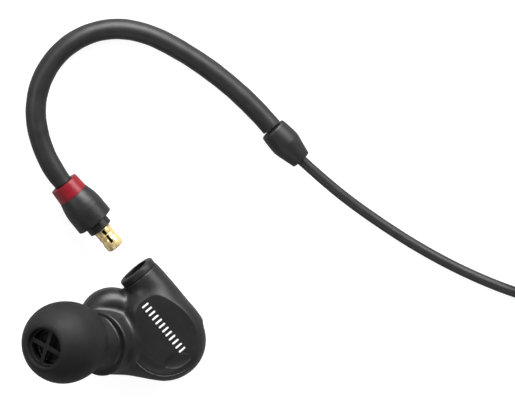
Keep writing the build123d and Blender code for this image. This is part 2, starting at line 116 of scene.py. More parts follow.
# ---------------------------------------------------------------- material tools
class Finish:
    """A Principled material with noise patterns in object space."""

    def __init__(self, name, **sockets):
        self.material = bpy.data.materials.new(name)
        self.material.use_nodes = True
        self.tree = self.material.node_tree
        self.shader = self.tree.nodes["Principled BSDF"]
        for socket, value in sockets.items():
            self.shader.inputs[socket.replace("_", " ")].default_value = value
        self.place = self.tree.nodes.new("ShaderNodeTexCoord").outputs["Object"]
        self.last_bump = None

    def noise(self, size, detail, stretch=(1, 1, 1)):
        """Noise whose patches are about size millimetres across."""
        mapping = self.tree.nodes.new("ShaderNodeMapping")
        mapping.inputs["Scale"].default_value = [s / (size * MM) for s in stretch]
        self.tree.links.new(self.place, mapping.inputs["Vector"])
        node = self.tree.nodes.new("ShaderNodeTexNoise")
        node.inputs["Scale"].default_value = 1.0
        node.inputs["Detail"].default_value = detail
        self.tree.links.new(mapping.outputs["Vector"], node.inputs["Vector"])
        return node.outputs["Fac"]

    def cells(self, size):
        """Distance to the edge of small cells, for pores and grains."""
        mapping = self.tree.nodes.new("ShaderNodeMapping")
        mapping.inputs["Scale"].default_value = [1 / (size * MM)] * 3
        self.tree.links.new(self.place, mapping.inputs["Vector"])
        node = self.tree.nodes.new("ShaderNodeTexVoronoi")
        node.inputs["Scale"].default_value = 1.0
        self.tree.links.new(mapping.outputs["Vector"], node.inputs["Vector"])
        return node.outputs["Distance"]

    def pattern(self, spec):
        """Cells of (size,), or noise of (size, detail) or (size, detail, stretch)."""
        return self.cells(*spec) if len(spec) == 1 else self.noise(*spec)

    def remap(self, value, low, high, start=0.3, end=0.7):
        """A value spread between two levels."""
        node = self.tree.nodes.new("ShaderNodeMapRange")
        node.inputs["From Min"].default_value = start
        node.inputs["From Max"].default_value = end
        node.inputs["To Min"].default_value = low
        node.inputs["To Max"].default_value = high
        self.tree.links.new(value, node.inputs["Value"])
        return node.outputs["Result"]

    def colours(self, value, *stops):
        """Colour from a value, through a ramp of (place, colour) stops."""
        ramp = self.tree.nodes.new("ShaderNodeValToRGB")
        elements = ramp.color_ramp.elements
        while len(elements) < len(stops):
            elements.new(0.5)
        for element, (position, colour) in zip(elements, stops):
            element.position = position
            element.color = (*colour, 1.0)
        self.tree.links.new(value, ramp.inputs["Fac"])
        self.tree.links.new(ramp.outputs["Color"], self.shader.inputs["Base Color"])

    def rough(self, value, low, high):
        """Roughness that varies between two levels."""
        self.tree.links.new(self.remap(value, low, high), self.shader.inputs["Roughness"])

    def bump(self, value, height):
        """Relief of a height in millimetres."""
        node = self.tree.nodes.new("ShaderNodeBump")
        node.inputs["Strength"].default_value = 1.0
        node.inputs["Distance"].default_value = height * MM
        self.tree.links.new(value, node.inputs["Height"])
        if self.last_bump:
            self.tree.links.new(self.last_bump, node.inputs["Normal"])
        self.last_bump = node.outputs["Normal"]
        self.tree.links.new(self.last_bump, self.shader.inputs["Normal"])


def shade(level, tint=(1.0, 1.0, 1.0)):
    """A grey of one level, with a tint."""
    return tuple(level * t for t in tint)


# ---------------------------------------------------------------- materials
def surface(name, colour, stops, rough, between, reliefs=(), **sockets):
    """A material with patterns for its colour, its roughness and its reliefs.

    stops are the colour ramp's, between is the range of roughness, and each relief is a
    pattern with its height. Sizes and heights are in millimetres.
    """
    finish = Finish(name, **sockets)
    finish.colours(finish.pattern(colour), *stops)
    finish.rough(finish.pattern(rough), *between)
    for relief, height in reliefs:
        finish.bump(finish.pattern(relief), height)
    return finish.material


def two_tone(dark, light, start=0.35, end=0.7):
    """A ramp's stops between two colours."""
    return ((start, dark), (end, light))


BLUISH = (1, 1, 1.03)
SURFACES = {
    "housing_plastic": dict(
        colour=(2.6, 4), stops=two_tone(shade(0.010, (1, 1, 1.04)), shade(0.0145)),
        rough=(0.8, 5), between=(0.34, 0.42),
        reliefs=(((0.07, 2), 0.0022), ((1.4, 2), 0.004)), IOR=1.45,
    ),
    "tip_silicone": dict(
        colour=(3.2, 5), stops=two_tone(shade(0.012), shade(0.017, BLUISH)),
        rough=(1.1, 6), between=(0.50, 0.60),
        reliefs=(((0.09, 3), 0.0025), ((1.7, 2), 0.006)), IOR=1.25,
    ),
    "hook_rubber": dict(
        colour=(1.8, 5), stops=two_tone(shade(0.011), shade(0.0165, BLUISH)),
        rough=(0.7, 5), between=(0.40, 0.50),
        reliefs=(((0.06, 3), 0.0028), ((2.2, 1), 0.012)), IOR=1.45,
    ),
    "cable_rubber": dict(
        colour=(1.2, 5), stops=two_tone(shade(0.015), shade(0.023, BLUISH)),
        rough=(0.5, 4), between=(0.38, 0.48),
        reliefs=(((0.05, 3), 0.002), ((1.6, 1), 0.008)), IOR=1.46,
    ),
    "plug_plastic": dict(
        colour=(1.4, 5), stops=two_tone(shade(0.0105, (1, 1, 1.05)), shade(0.0155)),
        rough=(0.4, 5), between=(0.36, 0.44), reliefs=(((0.09,), 0.0022),), IOR=1.45,
    ),
    # near black, darker than the other blacks: painted shade on the liner inside the socket's bore, and the black
    # behind the plug's windows and between the jack's contacts
    "black_and_painted_shade": dict(
        colour=(0.9, 4), stops=two_tone(shade(0.002), shade(0.004, (1, 1, 1.05))),
        rough=(0.4, 4), between=(0.55, 0.65), reliefs=(((0.08, 2), 0.001),), IOR=1.2,
    ),
    "red_plastic": dict(
        colour=(1.1, 4), stops=two_tone((0.175, 0.003, 0.009), (0.22, 0.005, 0.012)),
        rough=(0.4, 4), between=(0.30, 0.38), reliefs=(((0.06, 2), 0.0018),), IOR=1.52,
    ),
    "contact_gold": dict(
        colour=(0.5, 4), stops=two_tone((0.97, 0.72, 0.34), (1.0, 0.79, 0.42)),
        rough=(0.5, 4), between=(0.17, 0.23), Metallic=0.6,
    ),
    "soft_iron": dict(
        colour=(0.9, 5), stops=two_tone(shade(0.42), shade(0.52, (1, 0.99, 0.96))),
        rough=(0.2, 3, (1, 1, 6)), between=(0.28, 0.42),
        reliefs=(((0.05, 3, (1, 1, 8)), 0.001),), Metallic=1.0,
    ),
    "magnet_plating": dict(
        colour=(1.5, 4), stops=two_tone(shade(0.62), shade(0.70, BLUISH)),
        rough=(0.5, 5), between=(0.12, 0.22), Metallic=1.0,
    ),
    "driver_plastic": dict(
        colour=(1.0, 4), stops=two_tone(shade(0.055), shade(0.075)),
        rough=(0.3, 4), between=(0.42, 0.55), reliefs=(((0.08,), 0.003),), IOR=1.5,
    ),
    "ring_brass": dict(
        colour=(0.8, 4), stops=two_tone((0.62, 0.44, 0.18), (0.74, 0.56, 0.27)),
        rough=(0.1, 3, (1, 1, 9)), between=(0.24, 0.36), Metallic=1.0,
    ),
    # the colour's cells are the relief's cells: darker in the pits, painted shade in the foam's pores
    "damping_foam": dict(
        colour=(0.18,), stops=two_tone(shade(0.035), shade(0.11, (1, 1, 1.05)), start=0.1),
        rough=(0.3, 4), between=(0.85, 0.97), reliefs=(((0.18,), 0.05),), Sheen_Weight=0.2,
    ),
    "insulator_plastic": dict(
        colour=(0.9, 4), stops=two_tone((0.78, 0.76, 0.69), (0.86, 0.84, 0.78)),
        rough=(0.3, 4), between=(0.34, 0.46), IOR=1.38, Subsurface_Weight=0.1,
        Subsurface_Radius=(0.0006, 0.0005, 0.0004),
    ),
    "circuit_board": dict(
        colour=(0.5, 2), stops=two_tone((0.01, 0.12, 0.05), (0.02, 0.2, 0.09), 0.45, 0.55),
        rough=(0.4, 3), between=(0.3, 0.45), reliefs=(((0.4, 1), 0.01),), IOR=1.5,
        Coat_Weight=0.4, Coat_Roughness=0.2,
    ),
    "enamelled_wire": dict(
        colour=(0.4, 4), stops=two_tone((0.42, 0.13, 0.04), (0.60, 0.24, 0.09)),
        rough=(0.15, 3), between=(0.22, 0.34), Metallic=1.0, Coat_Weight=0.6,
        Coat_Roughness=0.15,
    ),
    "diaphragm_film": dict(
        colour=(1.5, 3), stops=two_tone((0.52, 0.44, 0.28), (0.66, 0.57, 0.38)),
        rough=(0.6, 3), between=(0.15, 0.28), reliefs=(((0.8, 2), 0.01),), IOR=1.6,
        Coat_Weight=0.5, Coat_Roughness=0.1,
    ),
    "printed_white": dict(
        colour=(0.3, 4), stops=two_tone(shade(0.80), shade(0.88)),
        rough=(0.2, 3), between=(0.48, 0.60), reliefs=(((0.08, 2), 0.002),), IOR=1.45,
    ),
}


def ridges(finish, axis, scale):
    """Even waves across one axis."""
    wave = finish.tree.nodes.new("ShaderNodeTexWave")
    wave.bands_direction = axis
    wave.inputs["Scale"].default_value = scale
    finish.tree.links.new(finish.place, wave.inputs["Vector"])
    return wave.outputs["Fac"]


def woven_mesh():
    """Fine woven wire, blackened: two crossing sets of waves, with painted shade in the gaps between the wires."""
    finish = Finish("woven_mesh", Metallic=0.6)
    weave = finish.tree.nodes.new("ShaderNodeMath")
    weave.operation = "MAXIMUM"
    for socket, axis in zip(weave.inputs, ("X", "Y")):
        finish.tree.links.new(ridges(finish, axis, 3200.0), socket)
    total = weave.outputs["Value"]
    # the gaps between the wires are painted darker than the blackened wire: painted shade
    finish.colours(total, (0.35, shade(0.001)), (0.75, shade(0.018, (1, 0.99, 0.97))))
    finish.rough(total, 0.75, 0.5)
    finish.bump(total, 0.03)
    return finish.material


def wound_coil():
    """Copper turns, seen as fine ridges one above another, painted darker in the grooves between them as shade."""
    finish = Finish("wound_coil", Metallic=1.0, Coat_Weight=0.4, Coat_Roughness=0.2)
    turns = ridges(finish, "Z", 3000.0)
    # darker where the ridges are low: painted shade in the grooves between the turns
    finish.colours(turns, (0.1, (0.22, 0.07, 0.02)), (0.7, (0.72, 0.34, 0.15)))
    finish.rough(turns, 0.4, 0.25)
    finish.bump(turns, 0.02)
    return finish.material


def floor_paper():
    """White paper that glows evenly and is shaded off where the object would mirror it."""
    finish = Finish("floor_paper", IOR=1.3)
    finish.colours(finish.noise(30, 3), (0.3, shade(0.27)), (0.7, shade(0.29)))
    finish.rough(finish.noise(20, 3), 0.85, 0.95)
    shader = finish.shader
    shader.inputs["Specular IOR Level"].default_value = 0.1
    shader.inputs["Emission Color"].default_value = (1, 1, 1, 1)
    split = finish.tree.nodes.new("ShaderNodeSeparateXYZ")
    finish.tree.links.new(finish.place, split.inputs["Vector"])
    side = finish.tree.nodes.new("ShaderNodeMath")
    side.operation = "ABSOLUTE"
    finish.tree.links.new(split.outputs["X"], side.inputs[0])
    beyond = finish.tree.nodes.new("ShaderNodeMath")
    beyond.operation = "MULTIPLY_ADD"
    beyond.inputs[1].default_value = -0.7
    finish.tree.links.new(side.outputs["Value"], beyond.inputs[0])
    finish.tree.links.new(split.outputs["Y"], beyond.inputs[2])
    mirrored = finish.remap(beyond.outputs["Value"], 0.08, 0.85, 0.02, 0.12)
    seen = finish.tree.nodes.new("ShaderNodeLightPath").outputs["Is Camera Ray"]
    mix = finish.tree.nodes.new("ShaderNodeMix")
    mix.inputs["B"].default_value = 0.90
    finish.tree.links.new(seen, mix.inputs["Factor"])
    finish.tree.links.new(mirrored, mix.inputs["A"])
    finish.tree.links.new(mix.outputs["Result"], shader.inputs["Emission Strength"])
    return finish.material


BY_SLOT = {
    "housing_black": "housing_plastic",
    "insulator_white": "insulator_plastic",
    "stamped_steel": "soft_iron",
    "wire_enamel": "enamelled_wire",
    "plug_black": "plug_plastic",
    "side_red": "red_plastic",
    "cable_jacket": "cable_rubber",
    "jack_band": "black_and_painted_shade",
    "metal_mesh": "woven_mesh",
    "coil_copper": "wound_coil",
}
SPECIAL = {"woven_mesh": woven_mesh, "wound_coil": wound_coil}
made = {}


def finish_for(slot):
    """The material of a slot, made once. Most slots are named after theirs."""
    name = BY_SLOT.get(slot, slot)
    if name not in made:
        made[name] = SPECIAL[name]() if name in SPECIAL else surface(name, **SURFACES[name])
    return made[name]


def dress_frame():
    """Give every CAD node the material of its slot."""
    for entry in frame["record"]["subparts"]:
        node = frame["nodes"][entry["node"]]
        node.data.materials.clear()
        node.data.materials.append(finish_for(entry["material_slot"]))


# ---------------------------------------------------------------- mesh tools
def add_piece(name, points, faces, slot, body, stands_for=(), crease=40.0):
    """Link a mesh, given in millimetres in the row frame, as a piece on a body."""
    mesh = bpy.data.meshes.new(name)
    mesh.from_pydata([tuple(p * MM for p in point) for point in points], [], faces)
    mesh.validate()
    mesh.shade_smooth()
    mesh.set_sharp_from_angle(angle=math.radians(crease))
    piece = bpy.data.objects.new(name, mesh)
    bpy.context.collection.objects.link(piece)
    mesh.materials.append(finish_for(slot))
    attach(piece, body)
    if stands_for:
        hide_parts(*stands_for)
    return piece


NEAR_ZERO = 1e-6
ROUND_STEPS = 5
LEAST_TURN = math.radians(4)
MOST_OF_EDGE = 0.42


def softened(outline, radius):
    """Round the corners of a closed outline of (radius, height) points."""
    points = [Vector(p) for p in outline]
    soft = []
    for index, corner in enumerate(points):
        before = points[index - 1] - corner
        after = points[(index + 1) % len(points)] - corner
        shortest = min(before.length, after.length)
        if min(corner.x, shortest) < NEAR_ZERO:
            soft.append(tuple(corner))
            continue
        turn = math.pi - before.angle(after)
        if turn < LEAST_TURN:
            soft.append(tuple(corner))
            continue
        reach = min(radius * math.tan(turn / 2), MOST_OF_EDGE * shortest)
        start = corner + before.normalized() * reach
        end = corner + after.normalized() * reach
        for step in range(ROUND_STEPS + 1):
            t = step / ROUND_STEPS
            soft.append(tuple(start.lerp(corner, t).lerp(corner.lerp(end, t), t)))
    return soft


TURNED_SEGMENTS = 144


def lathe(place, outline, segments=TURNED_SEGMENTS):
    """Points and faces of a closed outline turned about a placing's Z."""
    points = []
    rings = []
    for radius, height in outline:
        if radius < NEAR_ZERO:
            rings.append([len(points)] * segments)
            points.append(place @ Vector((0, 0, height)))
            continue
        ring = []
        for step in range(segments):
            angle = 2 * math.pi * step / segments
            spot = Vector((radius * math.cos(angle), radius * math.sin(angle), height))
            ring.append(len(points))
            points.append(place @ spot)
        rings.append(ring)
    faces = []
    for low, high in zip(rings, rings[1:] + rings[:1]):
        for step in range(segments):
            turn = (step + 1) % segments
            corners = [low[step], low[turn], high[turn], high[step]]
            face = list(dict.fromkeys(corners))
            if len(face) > 2:
                faces.append(face)
    return points, faces


def turned(name, place, outline, slot, body, stands_for, round_by):
    """A turned piece with softened corners."""
    points, faces = lathe(place, softened(outline, round_by))
    return add_piece(name, points, faces, slot, body, stands_for)


# ---------------------------------------------------------------- implicit shapes
def smooth_min(a, b, k):
    """The lesser of two fields, blended over a width of k."""
    h = np.clip(0.5 + 0.5 * (b - a) / k, 0, 1)
    return b * (1 - h) + a * h - k * h * (1 - h)


def local(place, x, y, z):
    """Row coordinates seen from a placing."""
    rows = place.inverted()[:3]
    return [row[0] * x + row[1] * y + row[2] * z + row[3] for row in rows]


def round_cone_outline(x, y, a, b, radius_a, radius_b):
    """Signed distance in the plane to two circles and the band between them."""
    start = np.array(a)
    run = np.array(b) - start
    length = math.hypot(*run)
    run = run / length
    px, py = x - start[0], y - start[1]
    along = px * run[0] + py * run[1]
    off = np.abs(px * run[1] - py * run[0])
    slope = (radius_a - radius_b) / length
    rise = math.sqrt(1 - slope**2)
    side = rise * along - slope * off
    first = np.hypot(along, off) - radius_a
    last = np.hypot(along - length, off) - radius_b
    middle = off * rise + along * slope - radius_a
    return np.where(side < 0, first, np.where(side > rise * length, last, middle))


def domed_prism(outline, z, low, high, low_round, high_round):
    """An outline raised between two heights, with another rounding at each end."""
    middle = (low + high) / 2
    radius = np.where(z < middle, low_round, high_round)
    return rounded_prism(outline, z, low, high, radius)


def rounded_prism(outline, z, low, high, radius):
    """An outline raised between two heights, with rounded edges."""
    across = outline + radius
    up = np.abs(z - (low + high) / 2) - (high - low) / 2 + radius
    outside = np.hypot(np.maximum(across, 0), np.maximum(up, 0))
    return outside + np.minimum(np.maximum(across, up), 0) - radius


def surface_net(field, low, high, step):
    """Points and quads of a field's zero surface, drawn onto the surface itself."""
    axes = [np.arange(low[i], high[i] + step, step) for i in range(3)]
    x, y, z = np.meshgrid(*axes, indexing="ij", sparse=True)
    values = np.asarray(field(x, y, z), dtype=np.float32)
    inside = values < 0
    count = np.zeros([n - 1 for n in values.shape], np.int8)
    corners = [(i, j, k) for i in (0, 1) for j in (0, 1) for k in (0, 1)]
    shape = count.shape
    for i, j, k in corners:
        count += inside[i:i + shape[0], j:j + shape[1], k:k + shape[2]]
    cells = np.argwhere((count > 0) & (count < 8))
    number = np.full(shape, -1, np.int64)
    number[tuple(cells.T)] = np.arange(len(cells))
    total = np.zeros((len(cells), 3))
    hits = np.zeros(len(cells))
    quads = []
    for axis in range(3):
        others = [a for a in range(3) if a != axis]
        for first in (0, 1):
            for second in (0, 1):
                shift = np.zeros(3, int)
                shift[others[0]], shift[others[1]] = first, second
                end = shift.copy()
                end[axis] = 1
                a = values[tuple((cells + shift).T)]
                b = values[tuple((cells + end).T)]
                cross = (a < 0) != (b < 0)
                part = np.where(cross, a / np.where(cross, a - b, 1), 0)
                spot = shift + part[:, None] * (end - shift)
                total += np.where(cross[:, None], spot, 0)
                hits += cross
        starts = inside.take(range(inside.shape[axis] - 1), axis)
        ends = inside.take(range(1, inside.shape[axis]), axis)
        edges = np.argwhere(starts != ends)
        keep = (edges[:, others[0]] > 0) & (edges[:, others[1]] > 0)
        keep &= edges[:, others[0]] < shape[others[0]]
        keep &= edges[:, others[1]] < shape[others[1]]
        edges = edges[keep]
        around = []
        for first, second in ((1, 1), (0, 1), (0, 0), (1, 0)):
            cell = edges.copy()
            cell[:, others[0]] -= first
            cell[:, others[1]] -= second
            around.append(number[tuple(cell.T)])
        quad = np.stack(around, 1)
        flip = starts[tuple(edges.T)] == (axis == 1)
        quad[flip] = quad[flip][:, ::-1]
        quads.append(quad)
    points = np.array(low) + step * (cells + total / hits[:, None])
    points = drawn_on(field, points, step)
    return points, np.concatenate(quads)


def drawn_on(field, points, step):
    """Move points onto the zero surface by a few Newton steps."""
    nudge = 0.02 * step
    start = points.copy()
    for _ in range(3):
        x, y, z = points.T
        here = field(x, y, z)
        slope = np.stack(
            [
                field(x + nudge, y, z) - here,
                field(x, y + nudge, z) - here,
                field(x, y, z + nudge) - here,
            ],
            1,
        ) / nudge
        steep = np.maximum((slope**2).sum(1), 0.2)
        points = points - (here / steep)[:, None] * slope
        points = start + np.clip(points - start, -0.6 * step, 0.6 * step)
    return points


def grown(name, field, low, high, step, slot, body, stands_for=(), crease=38.0):
    """A piece whose shape is a field in millimetres."""
    points, quads = surface_net(field, low, high, step)
    return add_piece(name, points.tolist(), quads.tolist(), slot, body, stands_for, crease)


# ---------------------------------------------------------------- housing
LOBES = (((-7.2, 2.5), 4.6), ((-7.7, -0.6), 4.2))
VENT = LOBES[0][0]
WAIST_R = 4.6
DRIVER_TOP = 6.1
LOBE_TOP = 4.7
FOOT_ROUND, DRIVER_ROUND, LOBE_ROUND = 1.3, 2.3, 2.1
DRUM_R = 4.55
NECK_R, NECK_END, LIP_R, LIP_AT, LIP_END = 2.2, 11.6, 2.5, 11.4, 12.4
COLLAR_LENGTH = 1.05
TUBE_DEPTH, TUBE_END, TUBE_SWELL = 5.3, 11.5, 0.27
SEAM_GAP = 0.05
FACET_HEIGHT = 6.18
FACET_SLOPE = -0.03         # the label facet falls towards the outer edge
FACET_MIDDLE = (1.4, 0.95)


def facet_point(out, across):
    """A point of the label facet, along and across the socket's direction."""
    spot = OUT * out + ACROSS * across
    return Vector((spot.x, spot.y, FACET_HEIGHT + FACET_SLOPE * across))


def body_field(x, y, z, inset=0.0):
    """The driver's round body and the two lower lobes beside it."""
    drum = np.hypot(x, y) - SHELL_R + 0.01 + inset
    low = inset
    top = DRIVER_TOP - 0.6 * inset
    driver = domed_prism(drum, z, low, top, FOOT_ROUND, DRIVER_ROUND - inset)
    (b, radius_b), (c, radius_c) = LOBES
    upper = round_cone_outline(x, y, (0, 0), b, WAIST_R - inset, radius_b - inset)
    lower = round_cone_outline(x, y, (0, 0), c, SHELL_R - 0.02 - inset, radius_c - inset)
    around = smooth_min(upper, lower, 0.8)
    lobes = domed_prism(around, z, low, LOBE_TOP - inset, FOOT_ROUND, LOBE_ROUND - inset)
    return np.maximum(smooth_min(driver, lobes, 1.3), np.minimum(drum, around))


def slanted_cone(u, v, s, low, low_r, high, high_r):
    """A cone from the drum's middle up to the nozzle's line, in the nozzle's coordinates."""
    part = np.clip((s - low) / (high - low), 0, 1)
    off = np.hypot(u - DRUM_SHIFT[0] * (1 - part), v - DRUM_SHIFT[1] * (1 - part))
    slope = (low_r - high_r + 1.67) / (high - low)
    side = (off - (low_r + (high_r - low_r) * part)) / math.hypot(1, slope)
    return np.maximum(side, np.maximum(low - 0.5 - s, s - high))


def nozzle_field(x, y, z):
    """The drum, its cone and the nozzle with its lip."""
    u, v, s = local(drum_place, x, y, z)
    drum = rounded_prism(np.hypot(u, v) - DRUM_R, s, -4.4, 0.0, 0.28)
    u, v, s = local(nozzle_place, x, y, z)
    neck = np.maximum(np.hypot(u, v) - NECK_R, np.maximum(-0.3 - s, s - NECK_END))
    lip = rounded_prism(np.hypot(u, v) - LIP_R, s, LIP_AT, LIP_END, 0.2)
    cone = slanted_cone(u, v, s, 0.0, 3.6, 4.4, 2.05)
    return np.minimum(smooth_min(drum, smooth_min(neck, cone, 0.3), 0.3), lip)


def facet_oval(x, y, out_r, across_r):
    """Signed distance, nearly, to an oval in plan about the facet's middle."""
    out = x * OUT.x + y * OUT.y - FACET_MIDDLE[0]
    across = x * ACROSS.x + y * ACROSS.y - FACET_MIDDLE[1]
    return (np.hypot(out / out_r, across / across_r) - 1) * across_r


def facet_level(x, y):
    """Height of the sloping facet."""
    return FACET_HEIGHT + FACET_SLOPE * (x * ACROSS.x + y * ACROSS.y)


def facet_pad(x, y, z):
    """The swelling that carries the facet from the body onto the socket's tube."""
    swelling = rounded_prism(facet_oval(x, y, 6.25, 4.35), z - facet_level(x, y), -4.0, 0.33, 1.9)
    return np.maximum(swelling, -4.5 - z + facet_level(x, y))


def facet_cut(x, y, z):
    """What stands above the facet's plane, and the thumb scoop at its lower end."""
    across = (x - 1.7) * 0.93 + (y + 2.75) * 0.37
    along = (y + 2.75) * 0.93 - (x - 1.7) * 0.37
    scoop = np.sqrt((across / 2.0) ** 2 + (along / 1.05) ** 2 + ((z - FACET_HEIGHT) / 0.3) ** 2)
    return smooth_min(facet_level(x, y) - z, (scoop - 1) * 0.28, 0.05)


def outer_field(x, y, z):
    """The outside of the whole housing, without its bores."""
    u, v, depth = local(socket_place, x, y, z)
    swell = TUBE_SWELL * np.sin(np.clip(depth / TUBE_END, 0, 1) * math.pi) ** 0.7
    tube = rounded_prism(np.hypot(u, v) - SOCKET_R - swell, depth, COLLAR_LENGTH, TUBE_END, 0.1)
    shape = smooth_min(body_field(x, y, z), tube, 0.9)
    shape = smooth_min(shape, facet_pad(x, y, z), 0.9)
    shape = np.maximum(shape, -facet_cut(x, y, z))
    return np.maximum(smooth_min(shape, nozzle_field(x, y, z), 0.8), -z)


def hollow_field(x, y, z):
    """The space inside: driver chamber, sound path and socket bores."""
    u, v, s = local(drum_place, x, y, z)
    drum = rounded_prism(np.hypot(u, v) - DRUM_R + WALL, s, -2.6, -WALL, 0.2)
    u, v, s = local(nozzle_place, x, y, z)
    r = np.hypot(u, v)
    funnel = slanted_cone(u, v, s, -0.8, 2.9, 3.6, 1.5)
    path = np.minimum(funnel, np.maximum(r - 1.6, np.maximum(-0.9 - s, s - 11.7)))
    seat = np.maximum(r - 2.05, np.maximum(11.6 - s, s - 14))
    hollow = np.minimum(body_field(x, y, z, WALL), np.minimum(drum, np.minimum(path, seat)))
    u, v, depth = local(socket_place, x, y, z)
    r = np.hypot(u, v)
    tube_wall = np.maximum(r - SOCKET_R, np.maximum(-depth, depth - 5.0))
    hollow = np.maximum(hollow, -tube_wall)
    mouth = np.maximum(r - 1.96, depth - 1.4)
    bore = np.maximum(r - 1.76, depth - 5.0)
    back = np.maximum(r - 1.31, depth - 5.2)
    wires = np.maximum(r - 0.9, depth - 6.6)
    socket = np.minimum(np.minimum(mouth, bore), np.minimum(back, wires))
    return np.minimum(hollow, np.maximum(socket, 0.2 - depth))


def seam_field(x, y, z):
    """Negative on the front shell's side of the seam: above it, and all round the tube."""
    u, v, depth = local(socket_place, x, y, z)
    tube = np.maximum(np.hypot(u, v) - SOCKET_R - 0.02, depth - TUBE_DEPTH)
    return np.minimum(SEAM_Z - z, tube)


def front_field(x, y, z):
    """The front shell's walls."""
    shell = np.maximum(outer_field(x, y, z), -hollow_field(x, y, z))
    return np.maximum(shell, seam_field(x, y, z) + SEAM_GAP / 2)


def rear_field(x, y, z):
    """The rear cover, with its vent and the mesh's seat inside it."""
    shell = np.maximum(outer_field(x, y, z), -hollow_field(x, y, z))
    shell = np.maximum(shell, SEAM_GAP / 2 - seam_field(x, y, z))
    r = np.hypot(x - VENT[0], y - VENT[1])
    seat = np.maximum(r - 1.31, WALL - 0.26 - z)
    return np.maximum(shell, -np.minimum(r - 0.5, seat))


def make_housing():
    """Both halves of the housing, each in its own box."""
    step = 0.105
    for name, node, field, low, high in (
        ("front_housing", "front_shell", front_field, (-21.5, -6.3, -0.3), (6.4, 11.0, 17.3)),
        ("rear_housing", "rear_cover", rear_field, (-14.2, -6.3, -0.3), (6.4, 8.6, 2.3)),
    ):
        grown(name, field, low, high, step, "housing_black", "earpiece", [node])


def make_collar():
    """The ring at the socket's mouth, a thin near-black liner that paints the shade inside the bore, and the
    contact sleeve.
    """
    outline = [
        (1.97, 0.0), (2.36, 0.0), (2.42, 0.05), (2.62, 0.05), (2.76, 0.2), (2.76, 0.86),
        (2.66, 0.96), (2.66, 1.05), (1.97, 1.05),
    ]
    turned("collar", socket_place, outline, "housing_black", "earpiece", ["socket_collar"], 0.05)
    # a thin near-black liner inside the mouth and bore: painted shade, where the key light would light the bore's
    # wall
    shade_liner = [(1.88, 0.16), (1.96, 0.12), (1.96, 1.38), (1.88, 1.38)]
    turned("painted_bore_shade", socket_place, shade_liner, "jack_band", "earpiece", (), 0.02)
    outline = [
        (1.5, 1.4), (1.74, 1.4), (1.74, 5.0), (1.31, 5.0), (1.31, 3.4), (1.36, 3.2), (1.36, 2.9),
        (1.31, 2.7), (1.31, 1.6),
    ]
    stands_for = ["socket_outer_contact"]
    turned("socket_contact", socket_place, outline, "contact_gold", "earpiece", stands_for, 0.04)


MARK_ACROSS = 1.02
MARK_START, MARK_PITCH, MARK_TICKS = -2.35, 0.74, 12


def make_mark():
    """A plain printed row of ticks on the facet, in place of lettering."""
    tilt = Vector((0, 0, 1)) - ACROSS * FACET_SLOPE
    points, faces = [], []

    def tick(out, half_width, half_height):
        """One upright bar with round ends, printed on the facet."""
        steps = 10
        rim = []
        for end in (1, -1):
            for step in range(steps + 1):
                angle = math.pi * step / steps + (0 if end > 0 else math.pi)
                across = end * (half_height - half_width) + half_width * math.sin(angle)
                rim.append((out + half_width * math.cos(angle), MARK_ACROSS + across))
        first = len(points)
        for lift in (-0.02, 0.02):
            points.extend(facet_point(*spot) + tilt * lift for spot in rim)
        count = len(rim)
        faces.append([first + count + i for i in range(count)])
        faces.append([first + i for i in reversed(range(count))])
        for i in range(count):
            j = (i + 1) % count
            faces.append([first + i, first + j, first + count + j, first + count + i])

    for index in range(MARK_TICKS):
        tick(MARK_START + index * MARK_PITCH, 0.13, 0.55)
    piece = add_piece("printed_mark", points, faces, "insulator_white", "earpiece")
    piece.data.materials[0] = finish_for("printed_white")


# ---------------------------------------------------------------- ear tip
TIP_R = 5.735
TIP_WIDEST = 9.4
TIP_FRONT, TIP_BACK = 6.05, 7.5     # half axes of the tip's ellipse before and behind it
TIP_SEGMENTS = 192
MOUTH_R = 2.76
BORE_R = 2.55
GUARD_R, GUARD_HOLE_R = 2.75, 2.46
GUARD_BAR = 0.3
GUARD_TURN = -25.0


def dome(radius, length, start, end, steps):
    """Points of the tip's ellipse between two angles."""
    for step in range(steps + 1):
        angle = math.radians(start + (end - start) * step / steps)
        yield (radius * math.cos(angle), TIP_WIDEST + length * math.sin(angle))


def make_tip():
    """Skirt and dome, the mouth, the grip on the nozzle and the skirt's inside."""
    outline = [(4.76, 5.2)]
    outline += dome(TIP_R, TIP_BACK, -33, -1.5, 20)
    outline += dome(TIP_R, TIP_FRONT, 0, 53.5, 36)
    outline += [(3.35, 14.28), (3.26, 14.36), (2.86, 14.4), (2.78, 14.34), (MOUTH_R, 13.0)]
    outline += [(BORE_R, 12.75), (BORE_R, 7.2)]
    outline += [(2.72, 7.1), (3.16, 7.1), (3.3, 7.25), (3.3, 11.4), (3.5, 11.9)]
    outline += list(dome(TIP_R - 0.5, 4.75, 0, 45, 24))[::-1]
    outline += [(4.98, 7.6), (4.4, 5.5), (4.44, 5.24), (4.58, 5.14)]
    points, faces = lathe(nozzle_place, outline, TIP_SEGMENTS)
    add_piece("silicone_tip", points, faces, "tip_silicone", "tip", ["ear_tip"], 50)


def guard_field(x, y, z):
    """The cross in the tip's mouth, filleted into its ring."""
    u, v, s = local(nozzle_place, x, y, z)
    r = np.hypot(u, v)
    low, high = TIP_END - 1.3, TIP_END - 0.7
    hoop = np.maximum(r - GUARD_R, GUARD_HOLE_R - r)
    angle = math.radians(GUARD_TURN)
    first = np.abs(u * math.cos(angle) + v * math.sin(angle)) - GUARD_BAR
    second = np.abs(-u * math.sin(angle) + v * math.cos(angle)) - GUARD_BAR
    cross = smooth_min(first, second, 0.25)
    plan = np.maximum(smooth_min(hoop, cross, 0.3), r - GUARD_R)
    return rounded_prism(plan, s, low, high, 0.08)


def make_guard():
    """The cross, in a small box of its own."""
    middle = NOZZLE_FOOT + NOZZLE * (TIP_END - 1.0)
    low, high = middle - Vector((3, 3, 3)), middle + Vector((3, 3, 3))
    grown("guard_cross", guard_field, low, high, 0.06, "tip_silicone", "tip", ["tip_guard"])


